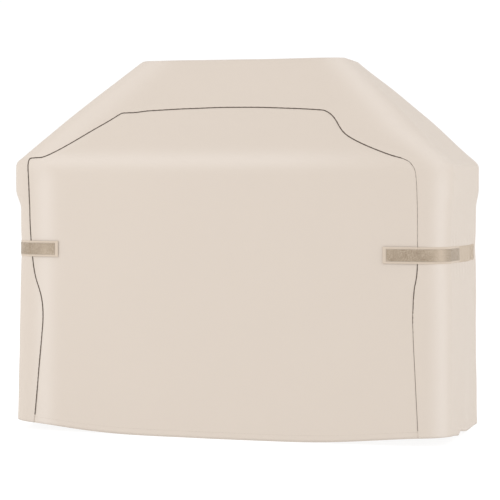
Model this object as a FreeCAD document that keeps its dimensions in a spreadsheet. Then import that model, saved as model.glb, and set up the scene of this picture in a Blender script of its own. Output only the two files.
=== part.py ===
"""A fitted cloth cover for a free-standing grill, in millimetres.

+Z is up, the front faces -Y, and the origin is on the ground under the middle of the cover. The cover is
three pieces of coated cloth: a front panel, a back panel, and one long wrap panel that climbs the left side,
crosses the top and comes down the right side. They meet along a shaped seam on the front and on the back. A
strap of hook-and-loop tape is sewn to each side, runs round the front corner and grips a patch on the front.
"""

import FreeCAD, Part
import math
import os
import Sketcher

Vector = FreeCAD.Vector
QUARTER_TURN = math.pi / 2

DRIVING_DIMENSIONS = {
    # The level sections of the cover, from the ground up: height, half of the width, half of the depth.
    "hem_half_width": 728,
    "hem_half_depth": 311,
    "waist_height": 730,
    "waist_half_width": 721,
    "waist_half_depth": 299,
    "bulge_height": 790,
    "shoulder_height": 883,
    "shoulder_half_width": 736.5,
    "shoulder_half_depth": 305,
    "top_height": 1225,
    "top_half_width": 353,
    "top_half_depth": 87,
    "corner_radius": 70,
    "top_corner_radius": 42,
    # The hem is level in the middle and rises towards the corners.
    "hem_level_half": 350,
    "hem_rise": 34,
    "hem_inset": 1.5,
    "hem_band_width": 24,
    "hem_band_thick": 1.5,
    "hem_stitch_height": 20,
    "thread_width": 1.5,
    # Cloth, tapes and bindings.
    "cloth": 2,
    "trim_thick": 1,
    "binding_width": 4,
    "seam_tape_width": 22,
    # Straps, shared by both sides.
    "strap_height": 593,
    "strap_width": 52,
    "strap_thick": 1.5,
    "strap_standoff": 2.6,
    "tape_width": 39,
    "tape_thick": 1,
    "tape_back_end": 91,
    "hook_thick": 1,
    "anchor_front": 120,
    "anchor_length": 80,
    "anchor_gap": 0.5,
    "hinge_gap": 0.3,
    "stitch_inset": 6,
    "stitch_thick": 0.5,
    "backing_margin": 12,
    "patch_length": 84,
    "patch_width": 44,
    # How far each strap reaches across the front.
    "right_strap_end": 523,
    "left_strap_end": 562,
    "tape_end_margin": 11,
    "hook_end_margin": 8,
    "hook_length": 76,
}

# The seam's outline, seen from the front: across from the middle and up from the ground. It starts below the
# hem on the left, climbs the side, arches over the hood and comes down the right side.
SEAM_OUTLINE = [
    ("left_below", -643, -60),
    ("left_hem", -640, 60),
    ("left_pinch", -616, 370),
    ("left_pinch_top", -622, 470),
    ("left_strap", -655, 560),
    ("left_wall", -666, 700),
    ("left_corner", -668, 880),
    ("left_slope_start", -607, 903),
    ("left_slope_middle", -463, 989),
    ("left_slope_end", -384, 1038),
    ("left_arch", -345, 1050),
    ("middle_arch", 0, 1060),
    ("right_arch", 300, 1050),
    ("right_fall_start", 330, 1038),
    ("right_fall_end", 385, 972),
    ("right_slope_middle", 440, 939),
    ("right_slope_end", 590, 890),
    ("right_corner", 622, 872),
    ("right_corner_low", 632, 840),
    ("right_wall", 630, 520),
    ("right_pinch", 618, 390),
    ("right_hem", 634, 60),
    ("right_below", 636, -60),
]

doc = FreeCAD.newDocument("grill_cover")
sheet = doc.addObject("Spreadsheet::Sheet", "sizes")
sub_parts = []


def fill_sheet():
    """Puts every driving dimension in its own row, with its name as the cell's alias."""
    named = dict(DRIVING_DIMENSIONS)
    for name, across, up in SEAM_OUTLINE:
        named[name + "_across"] = across
        named[name + "_up"] = up
    for row, (alias, value) in enumerate(named.items(), start=1):
        sheet.set(f"A{row}", alias)
        sheet.set(f"B{row}", str(value))
        sheet.setAlias(f"B{row}", alias)
    doc.recompute()


def amount(expression):
    """The present value of an expression in sheet cells."""
    return float(sheet.evalExpression(expression))


def bind(thing, **expressions):
    """Binds an object's properties; place_x, place_y and place_z stand for its position."""
    for name, expression in expressions.items():
        path = "Placement.Base." + name[-1] if name.startswith("place_") else name
        thing.setExpression(path, str(expression))


def keep(thing, label):
    """Marks an object as a sub-part with the given name."""
    thing.Label = label
    sub_parts.append(thing)
    return thing


def boolean(kind, name, base, tool):
    result = doc.addObject("Part::" + kind, name)
    result.Base = base
    result.Tool = tool
    return result


def box(name, corner, size):
    """A box from its lowest corner and its size, both given as three expressions."""
    block = doc.addObject("Part::Box", name)
    bind(block, Length=size[0], Width=size[1], Height=size[2])
    bind(block, place_x=corner[0], place_y=corner[1], place_z=corner[2])
    return block


def pin(sketch, geometry, point, across, up):
    """Holds one point of a sketch at a place given by two expressions."""
    for kind, expression in (("DistanceX", across), ("DistanceY", up)):
        index = sketch.addConstraint(Sketcher.Constraint(kind, -1, 1, geometry, point, amount(expression)))
        sketch.setExpression(f"Constraints[{index}]", expression)


def polygon_sketch(name, corners):
    """A closed outline in the XZ plane through corners given as pairs of expressions."""
    sketch = doc.addObject("Sketcher::SketchObject", name)
    sketch.Placement = FreeCAD.Placement(Vector(), FreeCAD.Rotation(Vector(1, 0, 0), 90))
    points = [Vector(amount(across), amount(up), 0) for across, up in corners]
    count = len(points)
    for index, point in enumerate(points):
        sketch.addGeometry(Part.LineSegment(point, points[(index + 1) % count]))
    for index, (across, up) in enumerate(corners):
        sketch.addConstraint(Sketcher.Constraint("Coincident", index, 2, (index + 1) % count, 1))
        pin(sketch, index, 1, across, up)
    return sketch


def level_section(name, height, half_width, half_depth, radius):
    """A level rounded rectangle, centred on the Z axis, drawn as a constrained sketch."""
    sketch = doc.addObject("Sketcher::SketchObject", name)
    bind(sketch, place_z=height)
    x, y, r = amount(half_width), amount(half_depth), amount(radius)
    corner_points = [
        (x - r, -y), (x, -y + r), (x, y - r), (x - r, y),
        (-x + r, y), (-x, y - r), (-x, -y + r), (-x + r, -y),
    ]
    corner_centres = [(x - r, -y + r), (x - r, y - r), (-x + r, y - r), (-x + r, -y + r)]
    for side in range(4):
        start = Vector(*corner_points[2 * side - 1], 0)
        end = Vector(*corner_points[2 * side], 0)
        sketch.addGeometry(Part.LineSegment(start, end))
    for side, centre in enumerate(corner_centres):
        turn = QUARTER_TURN * side
        circle = Part.Circle(Vector(*centre, 0), Vector(0, 0, 1), r)
        sketch.addGeometry(Part.ArcOfCircle(circle, turn - QUARTER_TURN, turn))
    for side in range(4):
        sketch.addConstraint(Sketcher.Constraint("Tangent", side, 2, 4 + side, 1))
        sketch.addConstraint(Sketcher.Constraint("Tangent", 4 + side, 2, (side + 1) % 4, 1))
        sketch.addConstraint(Sketcher.Constraint("Horizontal" if side % 2 == 0 else "Vertical", side))
    for side in range(3):
        sketch.addConstraint(Sketcher.Constraint("Equal", 4, 5 + side))
    sketch.addConstraint(Sketcher.Constraint("Symmetric", 0, 1, 2, 1, -1, 1))
    for constraint, expression in (
        (Sketcher.Constraint("DistanceX", -1, 1, 1, 1, x), half_width),
        (Sketcher.Constraint("DistanceY", -1, 1, 2, 1, y), half_depth),
        (Sketcher.Constraint("Radius", 4, r), radius),
    ):
        index = sketch.addConstraint(constraint)
        sketch.setExpression(f"Constraints[{index}]", expression)
    return sketch


def cover_form(name, inset):
    """The cover's whole form as one solid, every face moved inwards by inset (outwards if it is negative).

    The hood's slopes lean, so their sections move further in than the upright walls do.
    """
    wall = f"({inset})"
    run_x = "(sizes.shoulder_half_width - sizes.top_half_width)"
    run_y = "(sizes.shoulder_half_depth - sizes.top_half_depth)"
    rise = "(sizes.top_height - sizes.shoulder_height)"
    lean_x = f"{wall} * (sqrt(1 + ({run_x} / {rise})^2) - {run_x} / {rise})"
    lean_y = f"{wall} * (sqrt(1 + ({run_y} / {rise})^2) - {run_y} / {rise})"
    radius = f"sizes.corner_radius - {wall}"
    sections = [
        ("hem", "0", "sizes.hem_half_width", "sizes.hem_half_depth", wall, wall, radius),
        ("waist", "sizes.waist_height", "sizes.waist_half_width", "sizes.waist_half_depth",
         wall, wall, radius),
        ("bulge", "sizes.bulge_height", "sizes.shoulder_half_width", "sizes.shoulder_half_depth",
         wall, wall, radius),
        ("shoulder", f"sizes.shoulder_height - {wall} * 0.5", "sizes.shoulder_half_width",
         "sizes.shoulder_half_depth", wall, wall, radius),
        ("top", f"sizes.top_height - {wall}", "sizes.top_half_width", "sizes.top_half_depth",
         lean_x, lean_y, f"sizes.top_corner_radius - {wall} * 0.5"),
    ]
    form = doc.addObject("Part::Loft", name)
    form.Sections = [
        level_section(f"{name}_{level}", height, f"{half_x} - {in_x}", f"{half_y} - {in_y}", corner)
        for level, height, half_x, half_y, in_x, in_y, corner in sections
    ]
    form.Solid = True
    form.Ruled = True
    return form


def prism(name, sketch, front, back):
    """The outline pushed along Y, front millimetres forwards and back millimetres backwards."""
    solid = doc.addObject("Part::Extrusion", name)
    solid.Base = sketch
    solid.DirMode = "Custom"
    solid.Dir = Vector(0, -1, 0)
    solid.LengthFwd = front
    solid.LengthRev = back
    solid.Solid = True
    return solid


def hem_zone(name, low, high):
    """Everything between two lines that follow the hem, low and high above it, across the whole cover."""
    reach = 900
    rising_width = "(sizes.hem_half_width - sizes.hem_level_half)"
    slope = f"sizes.hem_rise * ({reach} - sizes.hem_level_half) / {rising_width}"
    level = "sizes.hem_level_half"
    corners = [
        (f"-{reach}", f"{slope} + {low}"),
        (f"-{level}", f"{low}"),
        (level, f"{low}"),
        (f"{reach}", f"{slope} + {low}"),
        (f"{reach}", f"{slope} + {high}"),
        (level, f"{high}"),
        (f"-{level}", f"{high}"),
        (f"-{reach}", f"{slope} + {high}"),
    ]
    return prism(name, polygon_sketch(name + "_outline", corners), 500, 500)


def shifted_outline(distance):
    """The seam's outline moved outwards by distance, as a closed wire in the XZ plane with sharp corners."""
    points = [
        Vector(amount(f"sizes.{name}_across"), 0, amount(f"sizes.{name}_up")) for name, _, _ in SEAM_OUTLINE
    ]
    count = len(points)
    normals = []
    for index, point in enumerate(points):
        along = (points[(index + 1) % count] - point).normalize()
        normals.append(Vector(-along.z, 0, along.x))
    shifted = []
    for index, point in enumerate(points):
        before, after = normals[index - 1], normals[index]
        shifted.append(point + (before + after) * (distance / (1 + before.dot(after))))
    return Part.makePolygon(shifted + shifted[:1])


def seam_zone(name, width, direction):
    """A zone of the given width that straddles the seam's outline, pushed along Y in one direction."""
    half = amount(width) / 2
    push = Vector(0, 500 * direction, 0)
    outer = Part.Face(shifted_outline(half)).extrude(push)
    inner = Part.Face(shifted_outline(-half)).extrude(push)
    zone = doc.addObject("Part::Feature", name)
    zone.Shape = outer.cut(inner)
    return zone


def make_panels(outline):
    """The shell of cloth, cut along the seam's outline into the front, back and wrap panels."""
    outside = cover_form("outside", "0")
    inside = cover_form("inside", "sizes.cloth")
    hollow = boolean("Cut", "hollow", outside, inside)
    shell = boolean("Common", "shell", hollow, hem_zone("above_hem", "0", "2000"))
    keep(boolean("Common", "front_piece", shell, prism("front_zone", outline, 500, 0)), "front_panel")
    keep(boolean("Common", "back_piece", shell, prism("back_zone", outline, 0, 500)), "back_panel")
    keep(boolean("Cut", "wrap_piece", shell, prism("both_zones", outline, 500, 500)), "wrap_panel")
    return outside, inside


def make_seams_and_hem(outside, inside):
    """The narrow binding outside each seam, the sealing tape inside it, and the hem with its thread."""
    outer_skin = boolean("Cut", "outer_skin", cover_form("over_outside", "-sizes.trim_thick"), outside)
    under_tape = cover_form("under_inside", "sizes.cloth + sizes.trim_thick")
    inner_skin = boolean("Cut", "inner_skin", inside, under_tape)
    under_hem = cover_form("under_hem", "sizes.cloth + sizes.hem_band_thick")
    hem_skin = boolean("Cut", "hem_skin", inside, under_hem)
    above_hem = hem_zone("above_hem_band", "sizes.hem_inset + sizes.hem_band_width + 1", "2000")
    for side, direction in (("front", -1), ("back", 1)):
        binding_zone = seam_zone(side + "_binding_zone", "sizes.binding_width", direction)
        binding = boolean("Common", side + "_binding_full", outer_skin, binding_zone)
        keep(boolean("Common", side + "_binding", binding, above_hem), side + "_seam_binding")
        tape_zone = seam_zone(side + "_tape_zone", "sizes.seam_tape_width", direction)
        tape = boolean("Common", side + "_tape_full", inner_skin, tape_zone)
        keep(boolean("Common", side + "_tape", tape, above_hem), side + "_seam_tape")
    band_zone = hem_zone("hem_band_zone", "sizes.hem_inset", "sizes.hem_inset + sizes.hem_band_width")
    keep(boolean("Common", "hem_fold", hem_skin, band_zone), "hem_band")
    thread_top = "sizes.hem_stitch_height + sizes.thread_width"
    thread_zone = hem_zone("hem_thread_zone", "sizes.hem_stitch_height", thread_top)
    keep(boolean("Common", "hem_thread", outer_skin, thread_zone), "hem_stitching")
    return outer_skin, inner_skin


WALL_SHARE = "sizes.strap_height / sizes.waist_height"
SIDE_WALL = f"(sizes.hem_half_width + (sizes.waist_half_width - sizes.hem_half_width) * {WALL_SHARE})"
FRONT_WALL = f"(sizes.hem_half_depth + (sizes.waist_half_depth - sizes.hem_half_depth) * {WALL_SHARE})"
CORNER_X = f"({SIDE_WALL} - sizes.corner_radius)"
CORNER_Y = f"({FRONT_WALL} - sizes.corner_radius)"


def side_box(name, sign, out_from, out_to, y_from, y_to, height):
    """A flat piece on a side wall, from out_from to out_to off it, centred on the strap's height."""
    start = f"{SIDE_WALL} + {out_from}" if sign > 0 else f"-({SIDE_WALL} + {out_to})"
    corner = (start, y_from, f"sizes.strap_height - {height} / 2")
    return box(name, corner, (f"{out_to} - ({out_from})", f"{y_to} - ({y_from})", height))


def front_box(name, sign, out_from, out_to, x_near, x_far, height):
    """A flat piece on the front wall between two distances from the middle, x_near and x_far."""
    start = x_near if sign > 0 else f"-({x_far})"
    corner = (start, f"-({FRONT_WALL} + {out_to})", f"sizes.strap_height - {height} / 2")
    return box(name, corner, (f"{x_far} - ({x_near})", f"{out_to} - ({out_from})", height))


def corner_ring(name, sign, out_from, out_to, height):
    """A quarter ring round a front corner, from out_from to out_to off the wall."""
    rings = []
    for part_name, out in (("_outer", out_to), ("_inner", out_from)):
        ring = doc.addObject("Part::Cylinder", name + part_name)
        bind(ring, Radius=f"sizes.corner_radius + {out}", Height=height)
        ring.Angle = 90
        quarter = FreeCAD.Rotation(Vector(0, 0, 1), 270 if sign > 0 else 180)
        ring.Placement = FreeCAD.Placement(Vector(), quarter)
        place_x = CORNER_X if sign > 0 else f"-{CORNER_X}"
        bind(ring, place_x=place_x, place_y=f"-{CORNER_Y}", place_z=f"sizes.strap_height - {height} / 2")
        rings.append(ring)
    return boolean("Cut", name, *rings)


def round_corner_piece(name, sign, out_from, out_to, y_to, height):
    """A strip that rounds the front corner and runs back along the side wall to y_to."""
    run = side_box(name + "_run", sign, out_from, out_to, f"-{CORNER_Y}", y_to, height)
    return boolean("Fuse", name, run, corner_ring(name + "_bend", sign, out_from, out_to, height))


def make_anchor(side, sign, inner_skin):
    """The folded strap end sewn to the side wall, its stitching, and the patch that backs it inside."""
    strap_out = "sizes.strap_standoff + sizes.strap_thick"
    y_from = "sizes.anchor_front + sizes.hinge_gap"
    y_to = "sizes.anchor_front + sizes.anchor_length"
    keep(
        side_box(side + "_anchor", sign, "sizes.anchor_gap", strap_out, y_from, y_to, "sizes.strap_width"),
        side + "_strap_anchor",
    )
    stitch_out = f"{strap_out} + sizes.stitch_thick"
    inset = "sizes.stitch_inset"
    inset_more = "(sizes.stitch_inset + sizes.thread_width)"
    outer = side_box(
        side + "_anchor_thread_outer", sign, strap_out, stitch_out,
        f"{y_from} + {inset}", f"{y_to} - {inset}", f"(sizes.strap_width - 2 * {inset})",
    )
    inner = side_box(
        side + "_anchor_thread_inner", sign, f"({strap_out} - 1)", f"({stitch_out} + 1)",
        f"{y_from} + {inset_more}", f"{y_to} - {inset_more}", f"(sizes.strap_width - 2 * {inset_more})",
    )
    keep(boolean("Cut", side + "_anchor_thread", outer, inner), side + "_anchor_stitching")
    zone = side_box(
        side + "_backing_zone", sign, "-20", "0",
        f"{y_from} - sizes.backing_margin", f"{y_to} + sizes.backing_margin",
        "(sizes.strap_width + 2 * sizes.backing_margin)",
    )
    keep(boolean("Common", side + "_backing", inner_skin, zone), side + "_anchor_backing")


def make_landing_patch(side, sign, outer_skin):
    """The loop patch on the front panel that the strap's tip grips."""
    start = f"sizes.{side}_strap_end + sizes.hook_end_margin - 4"
    zone = front_box(
        side + "_patch_zone", sign, "-20", "20", start, f"{start} + sizes.patch_length", "sizes.patch_width",
    )
    keep(boolean("Common", side + "_patch", outer_skin, zone), side + "_landing_patch")


def make_strap(side, sign):
    """The strap's run from the anchor round the corner, with the rough tape sewn on its outer face."""
    strap_in = "sizes.strap_standoff"
    strap_out = "(sizes.strap_standoff + sizes.strap_thick)"
    tape_out = f"({strap_out} + sizes.tape_thick)"
    keep(
        round_corner_piece(
            side + "_wrap", sign, strap_in, strap_out, "sizes.anchor_front", "sizes.strap_width",
        ),
        side + "_strap_wrap",
    )
    keep(
        round_corner_piece(
            side + "_wrap_rough", sign, strap_out, tape_out, "-sizes.tape_back_end", "sizes.tape_width",
        ),
        side + "_wrap_tape",
    )
    keep(
        side_box(
            side + "_end_thread", sign, strap_out, f"({strap_out} + sizes.stitch_thick)",
            "2 - sizes.tape_back_end", "2 - sizes.tape_back_end + sizes.thread_width", "sizes.tape_width",
        ),
        side + "_tape_stitching",
    )


def make_strap_tip(side, sign):
    """The strap's free end on the front: the strap, the rough tape outside it and the hook tape inside it."""
    end = f"sizes.{side}_strap_end"
    tip_far = f"({CORNER_X} - sizes.hinge_gap)"
    strap_in = "sizes.strap_standoff"
    strap_out = "(sizes.strap_standoff + sizes.strap_thick)"
    tape_out = f"({strap_out} + sizes.tape_thick)"
    keep(
        front_box(side + "_tip", sign, strap_in, strap_out, end, tip_far, "sizes.strap_width"),
        side + "_strap_tip",
    )
    keep(
        front_box(
            side + "_tip_rough", sign, strap_out, tape_out, f"{end} + sizes.tape_end_margin", tip_far,
            "sizes.tape_width",
        ),
        side + "_tip_tape",
    )
    hook_start = f"{end} + sizes.hook_end_margin"
    keep(
        front_box(
            side + "_tip_hooks", sign, "(sizes.strap_standoff - sizes.hook_thick)", strap_in,
            hook_start, f"{hook_start} + sizes.hook_length", "sizes.tape_width",
        ),
        side + "_hook_tape",
    )


def check_and_write():
    """Stops if any object failed; then writes each sub-part to its own file."""
    doc.recompute()
    for thing in doc.Objects:
        if {"Invalid", "Error"} & set(thing.State):
            raise RuntimeError(f"{thing.Label} failed: {thing.State}")
    os.makedirs("parts", exist_ok=True)
    for part in sub_parts:
        shape = part.Shape
        if shape.isNull() or not shape.isValid() or not shape.Solids:
            raise RuntimeError(f"{part.Label} has no valid solid")
        shape.exportStep(f"parts/{part.Label}.step")
        print(f"{part.Label}: {len(shape.Solids)} solid(s), {shape.Volume / 1000:.1f} cm3")


fill_sheet()
seam_outline = polygon_sketch(
    "seam_outline", [(f"sizes.{name}_across", f"sizes.{name}_up") for name, _, _ in SEAM_OUTLINE]
)
outside_form, inside_form = make_panels(seam_outline)
outer_layer, inner_layer = make_seams_and_hem(outside_form, inside_form)
for side_name, side_sign in (("left", -1), ("right", 1)):
    make_anchor(side_name, side_sign, inner_layer)
    make_landing_patch(side_name, side_sign, outer_layer)
    make_strap(side_name, side_sign)
    make_strap_tip(side_name, side_sign)
check_and_write()
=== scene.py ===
"""The finished look of a fitted grill cover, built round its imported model.

Lengths are in metres, in the model's own frame: +Z is up, the front faces -Y and the ground is z = 0.
Every cloth piece follows one rounded form. Its points are found by sending rays outwards from inside that
form, so the front, back and wrap panels meet exactly along the shaped seam, and the trims and straps lie on
the same cloth.
"""
import math

import bpy
import numpy as np
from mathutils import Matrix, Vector


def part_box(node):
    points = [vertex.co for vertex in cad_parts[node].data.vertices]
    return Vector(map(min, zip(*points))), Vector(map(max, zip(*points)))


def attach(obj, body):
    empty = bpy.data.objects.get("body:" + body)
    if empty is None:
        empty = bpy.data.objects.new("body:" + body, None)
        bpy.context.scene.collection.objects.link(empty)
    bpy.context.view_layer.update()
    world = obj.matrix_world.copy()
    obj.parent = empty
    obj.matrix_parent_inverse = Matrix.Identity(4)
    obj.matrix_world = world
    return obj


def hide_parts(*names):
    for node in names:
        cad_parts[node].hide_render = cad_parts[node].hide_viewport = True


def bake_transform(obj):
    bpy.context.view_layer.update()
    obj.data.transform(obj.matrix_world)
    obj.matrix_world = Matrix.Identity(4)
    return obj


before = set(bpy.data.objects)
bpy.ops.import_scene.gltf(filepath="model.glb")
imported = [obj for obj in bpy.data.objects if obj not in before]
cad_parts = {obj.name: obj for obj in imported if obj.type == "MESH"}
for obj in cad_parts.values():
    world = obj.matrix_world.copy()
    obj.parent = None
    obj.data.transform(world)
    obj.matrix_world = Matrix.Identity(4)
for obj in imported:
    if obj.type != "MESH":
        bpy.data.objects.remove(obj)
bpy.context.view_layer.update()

WRAP_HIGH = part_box("wrap_panel")[1]

# The form's sizes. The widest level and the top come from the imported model. Half widths are along X and
# half depths along Y; the waist is the level of the least width, under the bulge of the shoulders.
SHOULDER_HALF_WIDTH = WRAP_HIGH.x - 0.003
TOP_HEIGHT = WRAP_HIGH.z - 0.004
SHOULDER_HALF_DEPTH = 0.305
HEM_HALF_WIDTH = 0.728
HEM_HALF_DEPTH = 0.311
WAIST_HEIGHT = 0.730
WAIST_HALF_WIDTH = 0.721
WAIST_HALF_DEPTH = 0.299
BULGE_HEIGHT = 0.792
FRONT_WAIST_HEIGHT = 0.600
SHOULDER_HEIGHT = 0.883
SIDE_SHOULDER_HEIGHT = 0.870
TOP_HALF_WIDTH = 0.353
TOP_HALF_DEPTH = 0.087

# Its roundings.
CORNER_RADIUS = 0.070
HIP_RADIUS = 0.030
TOP_EDGE_RADIUS = 0.006
CREASE_RADIUS = 0.014
SIDE_CREASE_RADIUS = 0.005

# The lower cloth has slipped a little to the right. The hem bows out at the front and back, touches the
# ground along the middle and rises to the front corners. Each side's hem steps up behind the corner. The
# rise carries the cloth above it up as well, less and less up to the reach.
SLIP = 0.004
HEM_BOW = 0.023
BACK_HEM_BOW = 0.013
HEM_CLEARANCE = 0.0014
HEM_RISE = 0.0285
LEFT_RISE_POWER = 7
RIGHT_RISE_POWER = 5
SIDE_HEM_STEP = 0.014
HEM_LIFT_REACH = 0.5

# Rays that find the form: no point of it is further than the reach from inside, and each halving doubles
# the accuracy.
RAY_REACH = 1.6
HALVINGS = 34
NORMAL_STEP = 0.0015

# How far the cloth stands off the form.
SAG = 0.0035
LEFT_HIP_BOW = 0.0021
RIGHT_HIP_BOW = 0.0057
STRAP_PULL = 0.0028
PUCKER_RISE = 0.0009
PUCKER_LENGTH = 0.052
SEAM_DIP = 0.0012
SEAM_RIDGE = 0.0005
HEM_BULK = 0.0006
HEM_STITCH_DIP = 0.0005

# Sewing. Levels are heights above the cloth; what is below 0 lies inside the cover.
CLOTH_THICK = 0.0012
CLOTH_WEAVE = 0.0011
HEM_FOLD = 0.024
HEM_STITCH_HEIGHT = 0.020
SEAM_WIDTH = 0.0042
CORD_LEVEL = 0.0004
CORD_HALF_HEIGHT = 0.0013
CORD_SINK = 0.0011
SEAM_TAPE_WIDTH = 0.022
SEAM_TAPE_LEVELS = (-0.0032, -0.0022)
TOPSTITCH_GAP = 0.0058
STITCH_LENGTH = 0.0032
STITCH_THICK = 0.0009

# Straps. A strap's way is the distance along it from the side end of the corner that it turns round, and up
# is the height above its middle. Both straps are alike, mirrored, but for the left one's raise.
STRAP_HEIGHT = sum(corner.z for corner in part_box("right_strap_tip")) / 2
LEFT_STRAP_RAISE = 0.006
STRAP_DROP = 0.008
STRAP_CORNER_X = HEM_HALF_WIDTH - 0.076
STRAP_CORNER_Y = -0.231
STRAP_CORNER_LENGTH = 0.110
STRAP_THICK = 0.0015
TAPE_THICK = 0.0010

# The seam, from the hem on the left over the hood to the hem on the right: across, up, and the angle above
# the +X axis at which the wrap panel's rays leave it, in degrees.
SEAM = [
    (-0.645, 0.000, 180), (-0.638, 0.070, 180), (-0.621, 0.280, 180), (-0.615, 0.370, 180),
    (-0.622, 0.440, 180), (-0.645, 0.515, 180), (-0.658, 0.590, 180), (-0.663, 0.660, 180),
    (-0.665, 0.800, 178), (-0.667, 0.850, 172), (-0.668, 0.880, 163), (-0.664, 0.895, 150),
    (-0.649, 0.898, 142), (-0.621, 0.900, 138), (-0.596, 0.910, 135), (-0.559, 0.930, 133),
    (-0.510, 0.960, 132), (-0.461, 0.992, 131), (-0.413, 1.023, 129), (-0.388, 1.040, 124),
    (-0.376, 1.046, 114), (-0.358, 1.047, 104), (-0.328, 1.048, 98), (-0.287, 1.053, 94),
    (-0.215, 1.057, 91), (-0.144, 1.060, 90), (0.000, 1.063, 90), (0.128, 1.060, 90),
    (0.280, 1.052, 84), (0.316, 1.046, 74), (0.345, 1.025, 62), (0.377, 0.984, 54),
    (0.407, 0.961, 52), (0.462, 0.935, 50), (0.540, 0.906, 46), (0.592, 0.891, 38),
    (0.614, 0.875, 26), (0.627, 0.845, 12), (0.632, 0.760, 1), (0.633, 0.640, 0),
    (0.632, 0.540, 0), (0.624, 0.485, 0), (0.621, 0.420, 0), (0.622, 0.350, 0), (0.634, 0.130, 0),
    (0.641, 0.000, 0),
]
LEFT_CORNER = 11
RIGHT_CORNER = 37


# -------------------- the form

def smooth_step(value, low, high):
    share = np.clip((value - low) / (high - low), 0, 1)
    return share * share * (3 - 2 * share)


def stacked(*parts):
    """Coordinates side by side on a last axis."""
    return np.stack(np.broadcast_arrays(*parts), axis=-1)


def unit(rows):
    """Vectors made one metre long."""
    return rows / np.linalg.norm(rows, axis=-1, keepdims=True)


def round_max(first, second, radius):
    """The larger of two distances, with the edge where they are equal rounded off."""
    corner = np.hypot(np.maximum(first + radius, 0), np.maximum(second + radius, 0))
    return np.minimum(-radius, np.maximum(first, second)) + corner


def wall_sizes(x, y, z):
    """Half of the cover's width and depth, with the front and back bowed out towards the hem."""
    down = np.clip(1 - z / WAIST_HEIGHT, 0, 1)
    bulge = smooth_step(z, WAIST_HEIGHT, BULGE_HEIGHT)
    front_bulge = smooth_step(z, FRONT_WAIST_HEIGHT, SHOULDER_HEIGHT)
    half_width = WAIST_HALF_WIDTH + (HEM_HALF_WIDTH - WAIST_HALF_WIDTH) * down
    half_width = half_width + (SHOULDER_HALF_WIDTH - WAIST_HALF_WIDTH) * bulge
    half_depth = WAIST_HALF_DEPTH + (HEM_HALF_DEPTH - WAIST_HALF_DEPTH) * down
    half_depth = half_depth + (SHOULDER_HALF_DEPTH - WAIST_HALF_DEPTH) * front_bulge
    bow = np.where(y < 0, HEM_BOW, BACK_HEM_BOW) * np.clip(1 - (x / HEM_HALF_WIDTH) ** 2, 0, 1) * down
    return half_width, half_depth + bow


def slope_distance(across, half_at_shoulder, shoulder, half_at_top, z):
    """Distance outside a plane that leans in from the shoulder to the top."""
    rise = TOP_HEIGHT - shoulder
    run = half_at_shoulder - half_at_top
    lean = math.hypot(rise, run)
    return ((np.abs(across) - half_at_shoulder) * rise + (z - shoulder) * run) / lean


def slope_distances(x, y, z):
    """Distances outside the hood's slopes at the sides, and at the front and back."""
    return (slope_distance(x, SHOULDER_HALF_WIDTH, SIDE_SHOULDER_HEIGHT, TOP_HALF_WIDTH, z),
            slope_distance(y, SHOULDER_HALF_DEPTH, SHOULDER_HEIGHT, TOP_HALF_DEPTH, z))


def cover_distance(p):
    """About how far points lie outside the cover's form; negative inside it."""
    x, y, z = p[..., 0], p[..., 1], p[..., 2]
    half_width, half_depth = wall_sizes(x, y, z)
    slipped = np.abs(x - SLIP * (1 - smooth_step(z, WAIST_HEIGHT, BULGE_HEIGHT)))
    walls = round_max(slipped - half_width, np.abs(y) - half_depth, CORNER_RADIUS)
    hood = round_max(*slope_distances(x, y, z), HIP_RADIUS)
    hood = round_max(hood, z - TOP_HEIGHT, TOP_EDGE_RADIUS)
    to_side = smooth_step(np.abs(x), SHOULDER_HALF_WIDTH - CORNER_RADIUS, SHOULDER_HALF_WIDTH - 0.01)
    crease = CREASE_RADIUS + (SIDE_CREASE_RADIUS - CREASE_RADIUS) * to_side
    return round_max(walls, hood, crease)


def cast(origin, direction):
    """Where rays from inside the form leave it."""
    near = np.zeros(origin.shape[:-1])
    far = np.full(origin.shape[:-1], RAY_REACH)
    for _ in range(HALVINGS):
        middle = (near + far) / 2
        inside = cover_distance(origin + direction * middle[..., None]) < 0
        near = np.where(inside, middle, near)
        far = np.where(inside, far, middle)
    return origin + direction * near[..., None]


def outward(p):
    """The form's outward unit normal at points on it."""
    steps = NORMAL_STEP * np.eye(3)
    return unit(stacked(*(cover_distance(p + step) - cover_distance(p - step) for step in steps)))


def hem_height(x, y):
    """The hem's height: it rises to the front corners and, after a step up, falls back along each side."""
    power = np.where(x < 0, LEFT_RISE_POWER, RIGHT_RISE_POWER)
    corner = HEM_RISE * np.sin(math.pi / 2 * np.clip(np.abs(x) / HEM_HALF_WIDTH, 0, 1)) ** power
    behind = 1 - smooth_step(y, -0.30, 0.02)
    on_side = smooth_step(np.abs(x), HEM_HALF_WIDTH - 0.03, HEM_HALF_WIDTH - 0.008)
    step_up = SIDE_HEM_STEP * on_side * smooth_step(y, -0.135, -0.095) * (1 - smooth_step(y, -0.10, 0.14))
    return HEM_CLEARANCE + corner * behind + step_up


def cast_level(origin, direction):
    """As cast, for rays whose height is measured from the hem; gives that height as well."""
    above = origin[..., 2]
    points = cast(origin, direction)
    shift = hem_height(points[..., 0], points[..., 1]) * np.clip(1 - above / HEM_LIFT_REACH, 0, 1)
    lifted = origin.copy()
    lifted[..., 2] = above + shift
    return cast(lifted, direction), above


# -------------------- the seam

SPLINE_STEPS = 16


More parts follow.
